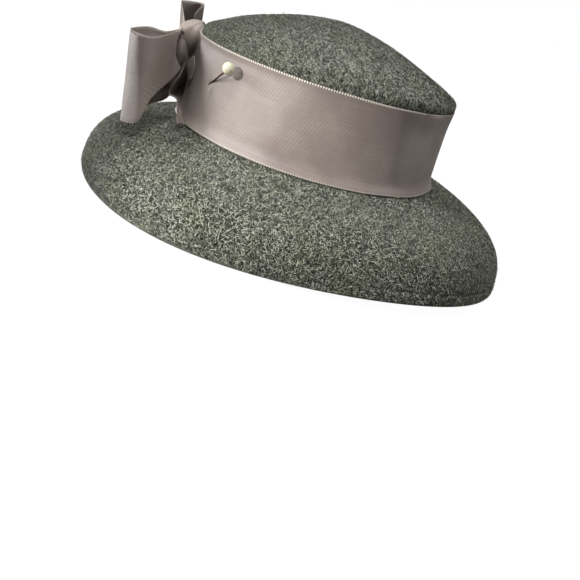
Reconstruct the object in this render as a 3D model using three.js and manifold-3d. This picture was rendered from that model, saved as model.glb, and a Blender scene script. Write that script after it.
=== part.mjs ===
// A wool felt hat: straight crown with a shallow dome, wide mushroom brim with a turned-under hem,
// a broad ribbon band, a ribbon bow at the back and a pearl-headed pin.
// Millimetres, +Z up. The wearer faces -Y, so the bow is at +Y. The hat stands on its own brim at Z = 0.
import * as THREE from "three";
import Module from "manifold-3d";
import { mergeVertices } from "three/addons/utils/BufferGeometryUtils.js";

const manifold = await Module();
manifold.setup();

// ---- driving dimensions ----
const FELT = 2.5; // blocked wool felt
const RIBBON = 1; // grosgrain ribbon
const GAP = 0.3; // between pieces that touch
const RIBBON_WIDTH = 57;
const AROUND = 72; // sections round the hat

// Outside of the band at the head line, where crown and brim meet.
const HEAD = { halfWidth: 89, halfLength: 100.5, height: 57.5 };
// The crown stands a little behind the middle of the brim and leans back.
const CROWN = { back: 9.5, lean: 0.028, taper: 0.951 };
const SHOULDER = { radius: 6, proud: 0.5, above: 1.5, from: -10, to: 62 }; // above the band's top; degrees
const DOME = { foot: 62.4, rise: 27, power: 1.7, rings: 8 }; // heights over the head line
const BRIM = { halfWidth: 146, halfLength: 172, bulge: 14.8, frontBulge: 1.5, skew: 0.9 };
const HEM = { depth: 9, centre: 2.2, steps: 6 }; // felt turned under at the edge
// Height of the brim's edge: it dips at front and back, where the hat stands, and lifts at the sides.
// Each wave adds lift * cos(order * angle from the back).
const EDGE_HEIGHT = 4.4;
const EDGE_WAVES = [
  { order: 1, lift: -2.9 },
  { order: 2, lift: -4.9 },
  { order: 3, lift: 2.9 },
];

// The bow, measured from the middle of its knot: x to the wearer's left, y backwards, z up.
const KNOT = { back: 113, height: 101, halfWide: 9, bevel: 3 };
// Side outline of the knot, from the band outwards: a broad top that tucks under to a narrow foot.
const KNOT_SIDE = [
  { y: -1.4, z: -9.5 },
  { y: -2.5, z: 10 },
  { y: 4, z: 8.8 },
  { y: 5.2, z: 4 },
  { y: 2.4, z: -4 },
  { y: 0.2, z: -9.5 },
];
// Ribbon edges, a row for each place along the ribbon.
const LOOP_RIGHT = [
  { place: "front layer at the knot", upper: [-9.8, 3.5, 8], lower: [-9.8, 0, -5] },
  { place: "front pleat", upper: [-18.2, 9.8, 5.9], lower: [-31.9, 2.8, -20] },
  { place: "front belly", upper: [-32.1, 19, 0.6], lower: [-49.5, 11.5, -34.2] },
  { place: "front of the fold", upper: [-35.6, 29.5, -0.6], lower: [-60.6, 16.1, -49.8] },
  { place: "fold", upper: [-27.4, 37.7, -0.4], lower: [-55, 28.4, -53.8] },
  { place: "back of the fold", upper: [-18.5, 35.6, 0.5], lower: [-46.5, 22.5, -50.5] },
  { place: "back belly", upper: [-12, 28, 2.6], lower: [-35.4, 15.7, -43.3] },
  { place: "back pleat", upper: [-11.5, 17.6, 3.3], lower: [-26, 6.5, -31] },
  { place: "back layer at the knot", upper: [-9.8, 7.4, 8], lower: [-9.8, 3.4, -6] },
];
const LOOP_LEFT = [
  { place: "outer layer at the knot", upper: [9.8, 7, 8], lower: [9.8, 3, -6] },
  { place: "outer pleat", upper: [20, 13, 16], lower: [20, 6, -21] },
  { place: "outer belly", upper: [34, 16.5, 19.5], lower: [33, 9, -36] },
  { place: "outer side of the fold", upper: [48, 17, 19], lower: [46, 9, -37] },
  { place: "fold", upper: [54, 10.5, 20], lower: [52, 4, -36] },
  { place: "inner side of the fold", upper: [48, 4.5, 22], lower: [46, -2, -34] },
  { place: "inner belly", upper: [34, 2.5, 23], lower: [33, -1, -33] },
  { place: "inner pleat", upper: [20, 1.5, 17], lower: [20, -2, -20] },
  { place: "inner layer at the knot", upper: [9.8, 3.2, 8], lower: [9.8, -0.6, -6] },
];
const TAIL = [
  { place: "under the knot", upper: [-5.5, -1, -12.9], lower: [0.5, -1.8, -15.5] },
  { place: "spread", upper: [-23.1, 1.1, -22.3], lower: [-9.7, -3, -24.5] },
  { place: "corner", upper: [-31.5, 4.1, -32.5], lower: [-12.7, -2.9, -34.5] },
  { place: "turn", upper: [-34.8, -1.7, -34.9], lower: [-17, -3.6, -37] },
  { place: "hang", upper: [-40.3, -5.6, -39.6], lower: [-27, -6, -39.5] },
  { place: "cut end", upper: [-47.7, -10.2, -45.7], lower: [-35, -8.3, -41.5] },
];

// The pin, in the crown's own frame: the pearl stands off the band, the point goes through band and felt.
const PEARL = { radius: 4, at: [-69.3, 67.6, 48.2] };
const PIN = { radius: 0.6, through: [-51.5, 78.4, 32.8], past: 18 };

const degrees = THREE.MathUtils.degToRad;
const LONG = HEAD.halfLength / HEAD.halfWidth; // every oval of the crown has this proportion
const crownFrame = new THREE.Matrix4()
  .makeRotationX(-CROWN.lean)
  .setPosition(0, CROWN.back, HEAD.height);

// ---- materials ----
const felt = (name) => new THREE.MeshStandardMaterial({ name, color: 0x666b62, roughness: 0.95 });
const grosgrain = (name) => new THREE.MeshStandardMaterial({ name, color: 0xa1958f, roughness: 0.7 });
const pearl = new THREE.MeshStandardMaterial({ name: "pearl", color: 0xf4f1da, roughness: 0.2 });
const steel = new THREE.MeshStandardMaterial({
  name: "steel",
  color: 0x4a3f3a,
  roughness: 0.35,
  metalness: 0.9,
});

// ---- shared shapes ----
// Half width of the band's outside at a height over the head line.
function bandHalf(z) {
  return HEAD.halfWidth * THREE.MathUtils.lerp(1, CROWN.taper, z / RIBBON_WIDTH);
}

// The felt wall under the band.
function wallHalf(z) {
  return bandHalf(z) - RIBBON - GAP;
}

// A point of the crown's oval, at an angle from the back.
function ovalPoint(half, angle, z) {
  return new THREE.Vector3(half * Math.sin(angle), half * LONG * Math.cos(angle), z);
}

// A turned solid stretched to the head's oval.
function turned(profile) {
  const points = profile.map(([r, z]) => new THREE.Vector2(r, z));
  return new THREE.LatheGeometry(points, AROUND).rotateX(Math.PI / 2).scale(1, LONG, 1);
}

// A closed ring whose section changes round the hat: sectionAt(angle) lists the section's points.
function sweptRing(sectionAt) {
  const count = sectionAt(0).length;
  const stand = Array.from({ length: count + 1 }, (_, j) => new THREE.Vector2(1, j % count));
  const ring = new THREE.LatheGeometry(stand, AROUND);
  const position = ring.getAttribute("position");
  for (let i = 0; i <= AROUND; i += 1) {
    const section = sectionAt((2 * Math.PI * (i % AROUND)) / AROUND);
    for (let j = 0; j <= count; j += 1) {
      position.setXYZ(i * (count + 1) + j, ...section[j % count].toArray());
    }
  }
  return ring;
}

// A ribbon between two smooth edges: a box of many cells whose vertices are moved onto it.
function ribbonStrip(rows, cellsLong, cellsWide) {
  const upper = new THREE.CatmullRomCurve3(rows.map((row) => new THREE.Vector3(...row.upper)));
  const lower = new THREE.CatmullRomCurve3(rows.map((row) => new THREE.Vector3(...row.lower)));
  const middle = (u, v) => upper.getPoint(u).lerp(lower.getPoint(u), v);
  const step = 1e-3;
  const strip = new THREE.BoxGeometry(1, 1, 1, cellsLong, cellsWide, 1);
  const position = strip.getAttribute("position");
  for (let i = 0; i < position.count; i += 1) {
    const u = position.getX(i) + 0.5;
    const v = position.getY(i) + 0.5;
    const uFrom = Math.max(u - step, 0);
    const along = middle(Math.min(u + step, 1), v).sub(middle(uFrom, v));
    const across = lower.getPoint(u).sub(upper.getPoint(u));
    const face = along.cross(across).normalize();
    const place = middle(u, v).addScaledVector(face, position.getZ(i) * RIBBON);
    position.setXYZ(i, place.x, place.y, place.z);
  }
  return strip;
}

// ---- booleans ----
function asSolid(geometry) {
  const bare = geometry.clone();
  bare.deleteAttribute("normal");
  bare.deleteAttribute("uv");
  const merged = mergeVertices(bare, 1e-3);
  return new manifold.Manifold(
    new manifold.Mesh({
      numProp: 3,
      vertProperties: merged.getAttribute("position").array,
      triVerts: new Uint32Array(merged.index.array),
    }),
  );
}

function asGeometry(solid) {
  const mesh = solid.getMesh();
  return new THREE.BufferGeometry()
    .setAttribute("position", new THREE.BufferAttribute(mesh.vertProperties, 3))
    .setIndex(new THREE.BufferAttribute(mesh.triVerts, 1));
}

// ---- felt ----
// Height of the dome over the head line, on its way from the shoulder to the tip.
function domeHeight(r) {
  return DOME.foot + DOME.rise * (1 - (r / bandHalf(RIBBON_WIDTH)) ** DOME.power);
}

// Wall, rounded shoulder and dome, felt thick, from the foot to the axis and back inside.
function crownGeometry() {
  const outer = [];
  const inner = [];
  for (const z of [GAP, RIBBON_WIDTH / 2, RIBBON_WIDTH + GAP]) {
    outer.push([wallHalf(z), z]);
    inner.push([wallHalf(z) - FELT, z]);
  }
  const middle = bandHalf(RIBBON_WIDTH) + SHOULDER.proud - SHOULDER.radius;
  const level = RIBBON_WIDTH + SHOULDER.above;
  const arc = (radius, turn) => [
    middle + radius * Math.cos(degrees(turn)),
    level + radius * Math.sin(degrees(turn)),
  ];
  for (const turn of [SHOULDER.from, 8, 26, 44, SHOULDER.to]) outer.push(arc(SHOULDER.radius, turn));
  for (const turn of [26, SHOULDER.to]) inner.push(arc(SHOULDER.radius - FELT, turn));
  const rim = arc(SHOULDER.radius, SHOULDER.to)[0];
  for (let ring = 1; ring <= DOME.rings; ring += 1) {
    const r = rim * (1 - ring / DOME.rings);
    const slope = (-DOME.rise * DOME.power * (r / rim) ** (DOME.power - 1)) / rim;
    const steep = Math.hypot(1, slope);
    outer.push([r, domeHeight(r)]);
    inner.push([Math.max(0, r + (FELT * slope) / steep), domeHeight(r) - FELT / steep]);
  }
  return turned([...inner.reverse(), ...outer]);
}

// Height of the brim's edge at an angle from the back.
function edgeHeight(angle) {
  return EDGE_WAVES.reduce((sum, wave) => sum + wave.lift * Math.cos(wave.order * angle), EDGE_HEIGHT);
}

// Solves rising(t) = 0 between two shares of the way out, by halving.
function solve(rising, low, high) {
  for (let i = 0; i < 40; i += 1) {
    const half = (low + high) / 2;
    if (rising(half) < 0) low = half;
    else high = half;
  }
  return low;
}

// The brim's section at one angle: top face outwards, round the hem, and back under to the head line.
function brimSection(angle) {
  const foot = ovalPoint(HEAD.halfWidth, angle, 0).applyMatrix4(crownFrame);
  const inside = ovalPoint(wallHalf(0) - FELT, angle, 0).applyMatrix4(crownFrame);
  const edge = new THREE.Vector3(
    BRIM.halfWidth * Math.sin(angle),
    BRIM.halfLength * Math.cos(angle),
    edgeHeight(angle),
  );
  const outwards = new THREE.Vector2(edge.x - foot.x, edge.y - foot.y);
  const run = outwards.length();
  outwards.normalize();
  const drop = foot.z - edge.z;
  const bulge = (BRIM.bulge - BRIM.frontBulge * Math.cos(angle)) / Math.hypot(run, drop);

  // Out and up at share t of the way from the head line to the edge, sunk below the top face.
  const top = (t) => {
    const lift = bulge * 4 * t * (1 - t) * (1 + BRIM.skew * (2 * t - 1));
    return new THREE.Vector2(run * t + drop * lift, edge.z + drop * (1 - t) + run * lift);
  };
  const normal = (t) => {
    const along = top(t + 0.01).sub(top(t - 0.01)).normalize();
    return new THREE.Vector2(-along.y, along.x);
  };
  const sunk = (t, depth) => top(t).addScaledVector(normal(t), -depth);

  const turnUnder = solve((t) => edge.z + HEM.centre - sunk(t, FELT).y, 0.8, 1.1);
  const centre = sunk(turnUnder, FELT);
  const start = normal(turnUnder).angle();
  const hemTop = solve((t) => HEM.depth - top(t).distanceTo(top(turnUnder)), 0, turnUnder);
  const section = [];
  for (const t of [0, 0.15, 0.32, 0.48, 0.62, 0.74, 0.84, 0.92]) section.push(top(t));
  for (let i = 0; i <= HEM.steps; i += 1) {
    const turn = start - (Math.PI * i) / HEM.steps;
    const bend = new THREE.Vector2(Math.cos(turn), Math.sin(turn)).multiplyScalar(FELT).add(centre);
    section.push(bend.setY(Math.max(0, bend.y)));
  }
  section.push(sunk((turnUnder + hemTop) / 2, 2 * FELT), sunk(hemTop, 2 * FELT), sunk(hemTop, FELT));
  for (const share of [0.75, 0.5, 0.25]) section.push(sunk(hemTop * share, FELT));
  section.push(sunk(0.01, FELT));
  return [
    inside,
    ...section.map((p) => new THREE.Vector3(foot.x + outwards.x * p.x, foot.y + outwards.y * p.x, p.y)),
    inside.clone().setZ(inside.z - FELT),
  ];
}

// ---- ribbon ----
function bandGeometry() {
  const outside = (z) => [bandHalf(z), z];
  const inside = (z) => [bandHalf(z) - RIBBON, z];
  const heights = [GAP, RIBBON_WIDTH / 2, RIBBON_WIDTH];
  return turned([...heights.map(outside), ...heights.map(inside).reverse(), outside(GAP)]);
}

function knotGeometry() {
  const side = new THREE.Shape(KNOT_SIDE.map(({ y, z }) => new THREE.Vector2(y, z)));
  return new THREE.ExtrudeGeometry(side, {
    depth: 2 * (KNOT.halfWide - KNOT.bevel),
    bevelThickness: KNOT.bevel,
    bevelSize: KNOT.bevel,
    bevelSegments: 3,
  })
    .translate(0, 0, KNOT.bevel - KNOT.halfWide)
    .applyMatrix4(new THREE.Matrix4().makeBasis(
      new THREE.Vector3(0, 1, 0),
      new THREE.Vector3(0, 0, 1),
      new THREE.Vector3(1, 0, 0),
    ));
}

// ---- pin ----
const pinHead = new THREE.Vector3(...PEARL.at);
const pinEntry = new THREE.Vector3(...PIN.through);
const pinWay = pinEntry.clone().sub(pinHead).normalize();

// A round bar along the pin's line, between two distances from the middle of the pearl.
function pinBar(radius, from, to) {
  const turn = new THREE.Quaternion().setFromUnitVectors(new THREE.Vector3(0, 1, 0), pinWay);
  const middle = pinHead.clone().addScaledVector(pinWay, (from + to) / 2);
  return new THREE.CylinderGeometry(radius, radius, to - from, 10)
    .applyQuaternion(turn)
    .translate(middle.x, middle.y, middle.z);
}

// ---- the hat ----
const hat = new THREE.Group();
const crownGroup = new THREE.Group();
crownGroup.applyMatrix4(crownFrame);
const bow = new THREE.Group();
bow.position.set(0, KNOT.back, KNOT.height);
hat.add(crownGroup, bow);

function addPiece(group, name, geometry, material) {
  const mesh = new THREE.Mesh(geometry, material);
  mesh.name = name;
  group.add(mesh);
}

const toEntry = pinEntry.distanceTo(pinHead);
const pinHole = asSolid(pinBar(PIN.radius + GAP, PEARL.radius, toEntry + PIN.past + GAP));
const pierced = (geometry) => asGeometry(asSolid(geometry).subtract(pinHole));

addPiece(crownGroup, "crown", pierced(crownGeometry()), felt("crown felt"));
addPiece(hat, "brim", sweptRing(brimSection), felt("brim felt"));
addPiece(crownGroup, "band", pierced(bandGeometry()), grosgrain("band ribbon"));
addPiece(bow, "bow_knot", knotGeometry(), grosgrain("knot ribbon"));
addPiece(bow, "bow_loop_right", ribbonStrip(LOOP_RIGHT, 28, 6), grosgrain("right loop ribbon"));
addPiece(bow, "bow_loop_left", ribbonStrip(LOOP_LEFT, 26, 4), grosgrain("left loop ribbon"));
addPiece(bow, "bow_tail", ribbonStrip(TAIL, 12, 3), grosgrain("tail ribbon"));
addPiece(crownGroup, "pin_pearl", new THREE.SphereGeometry(PEARL.radius, 16, 12).translate(...PEARL.at), pearl);
addPiece(crownGroup, "pin_shank", pinBar(PIN.radius, PEARL.radius + GAP, toEntry + PIN.past), steel);

// The origin is under the middle of the whole hat, on the surface it stands on.
hat.updateMatrixWorld(true);
const box = new THREE.Box3().setFromObject(hat);
const middle = box.getCenter(new THREE.Vector3());
hat.position.set(-middle.x, -middle.y, -box.min.z);

export default hat;
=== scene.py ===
"""A grey wool felt hat with a wide brim, a grosgrain band and bow, and a pearl pin, on its CAD frame."""
import math

import bmesh
import bpy
from mathutils import Matrix, Vector, noise


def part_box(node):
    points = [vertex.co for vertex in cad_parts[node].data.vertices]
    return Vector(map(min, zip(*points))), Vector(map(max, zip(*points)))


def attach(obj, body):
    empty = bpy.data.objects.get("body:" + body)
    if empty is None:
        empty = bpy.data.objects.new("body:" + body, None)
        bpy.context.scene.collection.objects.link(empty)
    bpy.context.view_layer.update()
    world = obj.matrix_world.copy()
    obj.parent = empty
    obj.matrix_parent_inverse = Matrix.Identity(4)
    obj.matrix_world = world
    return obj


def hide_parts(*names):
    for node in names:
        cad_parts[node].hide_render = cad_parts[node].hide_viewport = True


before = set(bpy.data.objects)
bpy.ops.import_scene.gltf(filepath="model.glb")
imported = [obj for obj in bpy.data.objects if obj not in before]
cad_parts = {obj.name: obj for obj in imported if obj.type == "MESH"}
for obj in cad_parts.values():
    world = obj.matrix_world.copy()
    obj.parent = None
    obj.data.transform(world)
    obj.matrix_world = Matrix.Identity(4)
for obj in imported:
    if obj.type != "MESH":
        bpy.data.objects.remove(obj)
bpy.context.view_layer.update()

# Shapes are worked out in millimetres from the middle of the brim, and made metres when they are done.
MM = 0.001
brim_low, brim_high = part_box("brim")
HAT_MIDDLE = Vector(((brim_low.x + brim_high.x) / 2, (brim_low.y + brim_high.y) / 2, 0))

# ---- camera ----
CAMERA_AIM = Vector((-135.2, 3.25, 0))  # on the floor, beside the brim's right edge
CAMERA_DISTANCE = 365.0
CAMERA_TURN = -99.014  # degrees round the hat, from its front towards the wearer's left
CAMERA_RISE = 27.758
CAMERA_ROLL = 20.459


def set_camera():
    turn, rise, roll = (math.radians(a) for a in (CAMERA_TURN, CAMERA_RISE, CAMERA_ROLL))
    back = Vector((math.sin(turn) * math.cos(rise), -math.cos(turn) * math.cos(rise), math.sin(rise)))
    level = Vector((math.cos(turn), math.sin(turn), 0))
    upright = back.cross(level)
    right = math.cos(roll) * level + math.sin(roll) * upright
    up = back.cross(right)
    data = bpy.data.cameras.new("camera")
    data.lens = 36
    data.sensor_width = 36
    camera = bpy.data.objects.new("camera", data)
    place = (CAMERA_AIM + back * CAMERA_DISTANCE) * MM + HAT_MIDDLE
    camera.matrix_world = Matrix.Translation(place) @ Matrix((right, up, back)).transposed().to_4x4()
    bpy.context.scene.collection.objects.link(camera)
    bpy.context.scene.camera = camera


# ---- the hat's sizes in millimetres, as in the part ----
FELT = 2.5
RIBBON = 1.0
GAP = 0.3  # between crown and band
RIBBON_WIDTH = 57.0
HEAD_HALF_WIDTH = 89.0  # outside the band, at the head line
LONG = 100.5 / HEAD_HALF_WIDTH  # the head's oval, length over width
TAPER = 0.951  # of the wall, from the head line to the band's top
CROWN_BACK = 9.5
HEAD_LINE = 57.5
LEAN = 0.028
CROWN_FRAME = Matrix.Translation((0, CROWN_BACK, HEAD_LINE)) @ Matrix.Rotation(-LEAN, 4, "X")
SHOULDER_RADIUS = 6.0
SHOULDER_PROUD = 0.5  # past the band's top
SHOULDER_ABOVE = 1.5
DOME_FOOT = 62.4  # over the head line
DOME_RISE = 27.0
DOME_POWER = 1.7
BRIM_HALF_WIDTH = 146.0
BRIM_HALF_LENGTH = 172.0
BRIM_BULGE = 14.8
BRIM_FRONT_BULGE = 1.5
BRIM_SKEW = 0.9
EDGE_HEIGHT = 4.4
EDGE_WAVES = ((1, -2.9), (2, -4.9), (3, 2.9))  # order, lift
HEM_DEPTH = 9.0
HEM_CENTRE = 2.2
BOW_FRAME = Matrix.Translation((0, 113, 101))  # the middle of the knot
PEARL_MIDDLE = Vector((-69.3, 67.6, 48.2))  # in the crown's frame, as is the pin's entry
PEARL_RADIUS = 4.0
PIN_ENTRY = Vector((-51.5, 78.4, 32.8))
PIN_RADIUS = 0.6
PIN_PAST = 18.0

# ---- finer sizes, for the looks alone ----
FRONT_OVERHANG = 1.4  # the dome swells over the band at the front
BACK_SLACK = 2.0  # and draws in behind it at the back
SWELLING_ABOVE = 9.0  # the band's top
SWELLING_SPREAD = 5.0
BLOCK_WAVE = 0.7  # unevenness that the block leaves in the dome
BLOCK_WAVES_PER_MM = 0.03
STITCH_LINE = 7.0  # from the brim's edge
STITCH_PITCH = 4.0
STITCH_SHARE = 0.75  # of the pitch, the rest being the hole between two stitches
STITCH_SINK = 0.8  # of the felt along the row
STITCH_FURROW = 0.9
STITCH_DIVE = 0.5  # of a stitch's ends into the felt
THREAD_RADIUS = 0.28
HEM_PAD = 0.35  # the two layers of felt swell outside the row
PICOT_PITCH = 1.65
PICOT = 0.5
RIBS_PER_PICOT = 2
RIBBON_VISIBLE = 0.6  # thickness at a ribbon's edge


# ---- helpers ----
def srgb(colour):
    """An sRGB hex colour as linear RGBA."""
    parts = [int(colour[i : i + 2], 16) / 255 for i in (1, 3, 5)]
    return [c / 12.92 if c <= 0.04045 else ((c + 0.055) / 1.055) ** 2.4 for c in parts] + [1]


def node(tree, kind, inputs=None, **settings):
    """Adds a node. An input given a socket is linked to it, and one given a value is set to it."""
    made = tree.nodes.new(kind)
    for name, value in settings.items():
        setattr(made, name, value)
    for name, value in (inputs or {}).items():
        if isinstance(value, bpy.types.NodeSocket):
            tree.links.new(value, made.inputs[name])
        else:
            made.inputs[name].default_value = value
    return made


def new_material(name):
    material = bpy.data.materials.new(name)
    material.use_nodes = True
    material.node_tree.nodes.clear()
    return material, material.node_tree


def lerp(a, b, share):
    return a + (b - a) * share


def smooth(low, high, value):
    """0 below low, 1 above high, and a smooth step between."""
    share = min(1, max(0, (value - low) / (high - low)))
    return share * share * (3 - 2 * share)


def ring_shell(place, steps, around):
    """A shell that starts as a circle and is pulled out ring by ring.
    place(angle, step) gives a point of a ring, with the angle counted from the back of the hat."""
    shell = bmesh.new()
    turn = shell.verts.layers.float.new("turn")
    bmesh.ops.create_circle(shell, segments=around, radius=1)
    for vert in shell.verts:
        vert[turn] = math.atan2(vert.co.x, vert.co.y)
        vert.co = place(vert[turn], steps[0])
    edges = shell.edges[:]
    for step in steps[1:]:
        pulled = bmesh.ops.extrude_edge_only(shell, edges=edges)["geom"]
        verts = [part for part in pulled if isinstance(part, bmesh.types.BMVert)]
        edges = [part for part in pulled if isinstance(part, bmesh.types.BMEdge)]
        for vert in verts:
            vert.co = place(vert[turn], step)
    return shell


def finish_piece(mesh, name, material, smooth_faces=True, recalculate=True):
    """Turns a mesh in millimetres into a piece of the hat in metres, riding on its only body."""
    if recalculate:
        bmesh.ops.recalc_face_normals(mesh, faces=mesh.faces)
    bmesh.ops.scale(mesh, vec=(MM, MM, MM), verts=mesh.verts)
    bmesh.ops.translate(mesh, vec=HAT_MIDDLE, verts=mesh.verts)
    for face in mesh.faces:
        face.smooth = smooth_faces
    data = bpy.data.meshes.new(name)
    mesh.to_mesh(data)
    mesh.free()
    data.materials.append(material)
    piece = bpy.data.objects.new(name, data)
    bpy.context.scene.collection.objects.link(piece)
    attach(piece, "root")
    return piece


# ---- materials ----
def yellow_patches(tree):
    """The blend of wools is uneven: this is how far each place, over a few centimetres, turns yellow."""
    place = node(tree, "ShaderNodeTexCoord").outputs["Object"]
    patch = node(tree, "ShaderNodeTexNoise", {"Vector": place, "Scale": 60.0, "Detail": 2.0}).outputs["Fac"]
    yellow = node(
        tree, "ShaderNodeMapRange", {"Value": patch, "From Min": 0.45, "From Max": 0.7, "To Max": 0.35}
    )
    return yellow.outputs[0]


# How the light and the dark locks of the felt lie, a turn in radians for each layer of them.
LIGHT_LOCKS = ((0, 0, 0.2), (0, 0.9, 1.2), (0, -0.8, 2.2), (0, 0.3, 2.9))
DARK_LOCKS = ((0, 0, 1.6), (0, 0.8, 0.3), (0, -0.7, 2.7))


def fibre_locks(tree, curled, lock_scale, turns, low, high):
    """Where a lock of one tone lies on top: 0 below low, and 1 above high."""
    top = None
    for turn in turns:
        apart = (turn[2] * 37, 0, 0)  # so that no two layers have the same locks
        along = node(
            tree,
            "ShaderNodeMapping",
            {"Vector": curled, "Rotation": turn, "Scale": lock_scale, "Location": apart},
        ).outputs[0]
        lock = node(
            tree,
            "ShaderNodeTexNoise",
            {"Vector": along, "Scale": 1.0, "Detail": 1.5, "Roughness": 0.55},
        ).outputs["Fac"]
        if top is not None:
            lock = node(tree, "ShaderNodeMath", {0: top, 1: lock}, operation="MAXIMUM").outputs[0]
        top = lock
    shown = node(
        tree,
        "ShaderNodeMapRange",
        {"Value": top, "From Min": low, "From Max": high},
        interpolation_type="SMOOTHSTEP",
    )
    return shown.outputs[0]


def felt_material():
    """Melange wool felt, blocked and brushed: light and dark wools matted every way, dull and soft."""
    material, tree = new_material("brushed melange wool felt")
    place = node(tree, "ShaderNodeTexCoord").outputs["Object"]
    in_mm = node(tree, "ShaderNodeMapping", {"Vector": place, "Scale": (1000, 1000, 1000)}).outputs[0]

    # Wool locks curl, so the coordinates that the fibres follow are bent by up to 5 mm.
    curl = node(tree, "ShaderNodeTexNoise", {"Vector": in_mm, "Scale": 0.09, "Detail": 1.0})
    centred = node(
        tree, "ShaderNodeVectorMath", {0: curl.outputs["Color"], 1: (0.5, 0.5, 0.5)}, operation="SUBTRACT"
    )
    bent = node(tree, "ShaderNodeVectorMath", {0: centred.outputs[0], "Scale": 10.0}, operation="SCALE")
    curled = node(tree, "ShaderNodeVectorMath", {0: in_mm, 1: bent.outputs[0]}).outputs[0]

    # Single fibres are 0.03 mm thick, too fine to show. Their locks are drawn 0.75 mm wide and 4.5 mm long.
    lock_scale = (1 / 4.5, 1 / 0.75, 1 / 0.75)
    light = fibre_locks(tree, curled, lock_scale, LIGHT_LOCKS, 0.55, 0.74)
    dark = fibre_locks(tree, curled, lock_scale, DARK_LOCKS, 0.53, 0.7)

    ground = node(
        tree,
        "ShaderNodeMix",
        {0: yellow_patches(tree), 6: srgb("#505349"), 7: srgb("#5e5f42")},
        data_type="RGBA",
    ).outputs[2]
    lightened = node(
        tree, "ShaderNodeMix", {0: light, 6: ground, 7: srgb("#a5a897")}, data_type="RGBA"
    ).outputs[2]
    colour = node(
        tree, "ShaderNodeMix", {0: dark, 6: lightened, 7: srgb("#151712")}, data_type="RGBA"
    ).outputs[2]
    relief = node(tree, "ShaderNodeMath", {0: light, 1: dark}, operation="SUBTRACT").outputs[0]
    bump = node(tree, "ShaderNodeBump", {"Height": relief, "Strength": 0.8, "Distance": 0.0004}).outputs[0]
    shader = node(
        tree,
        "ShaderNodeBsdfPrincipled",
        {
            "Base Color": colour,
            "Roughness": 0.95,
            "Specular IOR Level": 0.15,
            "Sheen Weight": 0.25,
            "Sheen Roughness": 0.6,
            "Sheen Tint": srgb("#c9cbbd"),
            "Normal": bump,
        },
    )
    node(tree, "ShaderNodeOutputMaterial", {"Surface": shader.outputs[0]})
    return material


# Tones of the wools in the blend, by share of the locks.
WOOL_TONES = ((0.0, "#0d0f0b"), (0.28, "#30332b"), (0.5, "#5b5e53"), (0.68, "#939687"), (0.86, "#c6c8b9"))


def nap_material():
    """Locks of combed wool that stand off the felt: each is one tone, from near black to off-white."""
    material, tree = new_material("loose wool nap")
    tone = node(tree, "ShaderNodeAttribute", attribute_name="tone").outputs["Fac"]
    ramp = node(tree, "ShaderNodeValToRGB", {"Fac": tone})
    ramp.color_ramp.interpolation = "CONSTANT"
    for place, colour in WOOL_TONES:
        stop = ramp.color_ramp.elements.new(place) if place else ramp.color_ramp.elements[0]
        stop.color = srgb(colour)
    ramp.color_ramp.elements.remove(ramp.color_ramp.elements[-1])
    colour = node(
        tree,
        "ShaderNodeMix",
        {0: yellow_patches(tree), 6: ramp.outputs["Color"], 7: srgb("#dfdca8")},
        data_type="RGBA",
        blend_type="MULTIPLY",
    ).outputs[2]
    shader = node(
        tree,
        "ShaderNodeBsdfPrincipled",
        {"Base Color": colour, "Roughness": 0.85, "Specular IOR Level": 0.2, "Sheen Weight": 0.2},
    )
    node(tree, "ShaderNodeOutputMaterial", {"Surface": shader.outputs[0]})
    return material


WATERED_PITCH = 1.9  # mm from one watered line to the next
STREAK_PITCH = 1.3  # mm from one streak of the warp to the next
PICOT_ZONE = (0.487, 0.493)  # where the picots start, in ribbon widths from the middle


def watered_lines(tree, along, across, cloud):
    """Where the weave was pressed its ribs lean, and the light makes faint slanting lines."""
    lean = node(
        tree, "ShaderNodeMath", {0: across, 1: 0.4 * RIBBON_WIDTH / WATERED_PITCH}, operation="MULTIPLY"
    ).outputs[0]
    slant = node(
        tree,
        "ShaderNodeMath",
        {0: along, 1: 0.9 * PICOT_PITCH / WATERED_PITCH, 2: lean},
        operation="MULTIPLY_ADD",
    ).outputs[0]
    bend = node(tree, "ShaderNodeMath", {0: cloud, 1: 1.6, 2: slant}, operation="MULTIPLY_ADD").outputs[0]
    phase = node(tree, "ShaderNodeMath", {0: bend, 1: 2 * math.pi}, operation="MULTIPLY").outputs[0]
    line = node(tree, "ShaderNodeMath", {0: phase}, operation="SINE").outputs[0]
    pressed = node(
        tree,
        "ShaderNodeMapRange",
        {"Value": cloud, "From Min": 0.4, "From Max": 0.6, "To Min": 0.02, "To Max": 0.14},
    ).outputs[0]
    return node(tree, "ShaderNodeMath", {0: line, 1: pressed}, operation="MULTIPLY").outputs[0]


def warp_streaks(tree, weave):
    """Warp threads differ a little in lustre, which draws faint streaks along the ribbon, as painted sheen
    in the colour.
    """
    in_streaks = node(
        tree, "ShaderNodeMapping", {"Vector": weave, "Scale": (0.06, RIBBON_WIDTH / STREAK_PITCH, 1)}
    ).outputs[0]
    streak = node(tree, "ShaderNodeTexNoise", {"Vector": in_streaks, "Scale": 1.0, "Detail": 2.0})
    lustre = node(
        tree,
        "ShaderNodeMapRange",
        {"Value": streak.outputs["Fac"], "From Min": 0.3, "From Max": 0.7, "To Min": -0.08, "To Max": 0.08},
    )
    return lustre.outputs[0]


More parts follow.
